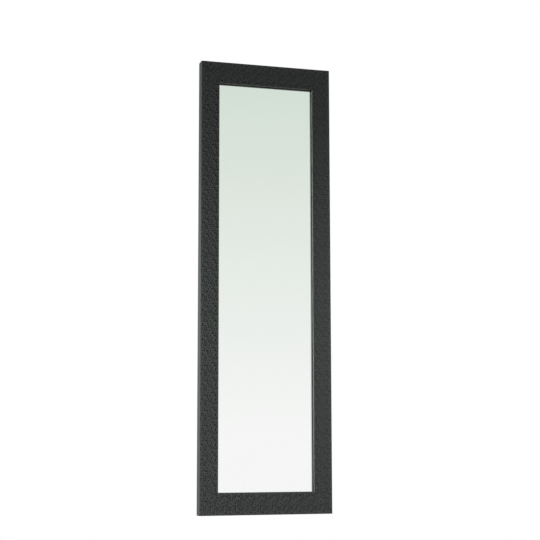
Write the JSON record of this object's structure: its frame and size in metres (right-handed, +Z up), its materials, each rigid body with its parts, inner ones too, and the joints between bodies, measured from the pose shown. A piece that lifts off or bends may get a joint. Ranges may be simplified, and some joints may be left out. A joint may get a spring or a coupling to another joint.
{
  "type": "accent mirror",
  "caption": "Tall rectangular wall mirror in a wide flat black frame with mitred corners and an embossed face; turn buttons close its back and it hangs by swinging D-rings.",
  "frame": {"origin": "middle of the hanging line, on the wall plane", "axes": "+Z up, +X to the right as seen from the front, +Y from the front towards the wall"},
  "size_m": [0.456, 0.047, 1.524],
  "materials": {
    "black_moulding": "satin",
    "silvered_glass": "polished",
    "foam_tape": "matte",
    "block_rubber": "matte",
    "honeycomb_board": "matte",
    "hardboard": "matte",
    "zinc_steel": "satin",
    "bumper_rubber": "matte"
  },
  "bodies": {
    "frame": {"left_stile": "black_moulding", "top_rail": "black_moulding", "right_stile": "black_moulding", "bottom_rail": "black_moulding", "mirror_glass": "silvered_glass", "glazing_tape_left": "foam_tape", "glazing_tape_right": "foam_tape", "glazing_tape_top": "foam_tape", "glazing_tape_bottom": "foam_tape", "setting_block_left": "block_rubber", "setting_block_right": "block_rubber", "filler_board": "honeycomb_board", "back_panel": "hardboard", "v_nails": "zinc_steel", "turn_button_screws": "zinc_steel", "hanger_screws": "zinc_steel", "left_hanger_strap": "zinc_steel", "right_hanger_strap": "zinc_steel", "wall_bumper_top_left": "bumper_rubber", "wall_bumper_top_right": "bumper_rubber", "wall_bumper_bottom_left": "bumper_rubber", "wall_bumper_bottom_right": "bumper_rubber"},
    "left_ring": {"left_hanger_ring": "zinc_steel"},
    "right_ring": {"right_hanger_ring": "zinc_steel"},
    "bottom_button": {"turn_button_bottom": "zinc_steel"},
    "left_1_button": {"turn_button_left_1": "zinc_steel"},
    "left_2_button": {"turn_button_left_2": "zinc_steel"},
    "left_3_button": {"turn_button_left_3": "zinc_steel"},
    "left_4_button": {"turn_button_left_4": "zinc_steel"},
    "right_1_button": {"turn_button_right_1": "zinc_steel"},
    "right_2_button": {"turn_button_right_2": "zinc_steel"},
    "right_3_button": {"turn_button_right_3": "zinc_steel"},
    "right_4_button": {"turn_button_right_4": "zinc_steel"},
    "top_button": {"turn_button_top": "zinc_steel"}
  },
  "joints": [
    {"name": "left_ring_swing", "type": "hinge", "parent": "frame", "child": "left_ring", "pos_m": [-0.202, -0.0041, -0.0185], "axis": [-1, 0, 0], "range_deg": [0, 170]},
    {"name": "right_ring_swing", "type": "hinge", "parent": "frame", "child": "right_ring", "pos_m": [0.202, -0.0041, -0.0185], "axis": [-1, 0, 0], "range_deg": [0, 170]},
    {"name": "bottom_button_turn", "type": "hinge", "parent": "frame", "child": "bottom_button", "pos_m": [0, -0.007, -1.223], "axis": [0, 1, 0], "continuous": true},
    {"name": "left_1_button_turn", "type": "hinge", "parent": "frame", "child": "left_1_button", "pos_m": [-0.1875, -0.007, -1.124], "axis": [0, 1, 0], "continuous": true},
    {"name": "left_2_button_turn", "type": "hinge", "parent": "frame", "child": "left_2_button", "pos_m": [-0.1875, -0.007, -0.716], "axis": [0, 1, 0], "continuous": true},
    {"name": "left_3_button_turn", "type": "hinge", "parent": "frame", "child": "left_3_button", "pos_m": [-0.1875, -0.007, -0.308], "axis": [0, 1, 0], "continuous": true},
    {"name": "left_4_button_turn", "type": "hinge", "parent": "frame", "child": "left_4_button", "pos_m": [-0.1875, -0.007, 0.1], "axis": [0, 1, 0], "continuous": true},
    {"name": "right_1_button_turn", "type": "hinge", "parent": "frame", "child": "right_1_button", "pos_m": [0.1875, -0.007, 0.1], "axis": [0, 1, 0], "continuous": true},
    {"name": "right_2_button_turn", "type": "hinge", "parent": "frame", "child": "right_2_button", "pos_m": [0.1875, -0.007, -0.308], "axis": [0, 1, 0], "continuous": true},
    {"name": "right_3_button_turn", "type": "hinge", "parent": "frame", "child": "right_3_button", "pos_m": [0.1875, -0.007, -0.716], "axis": [0, 1, 0], "continuous": true},
    {"name": "right_4_button_turn", "type": "hinge", "parent": "frame", "child": "right_4_button", "pos_m": [0.1875, -0.007, -1.124], "axis": [0, 1, 0], "continuous": true},
    {"name": "top_button_turn", "type": "hinge", "parent": "frame", "child": "top_button", "pos_m": [0, -0.007, 0.199], "axis": [0, 1, 0], "continuous": true}
  ]
}
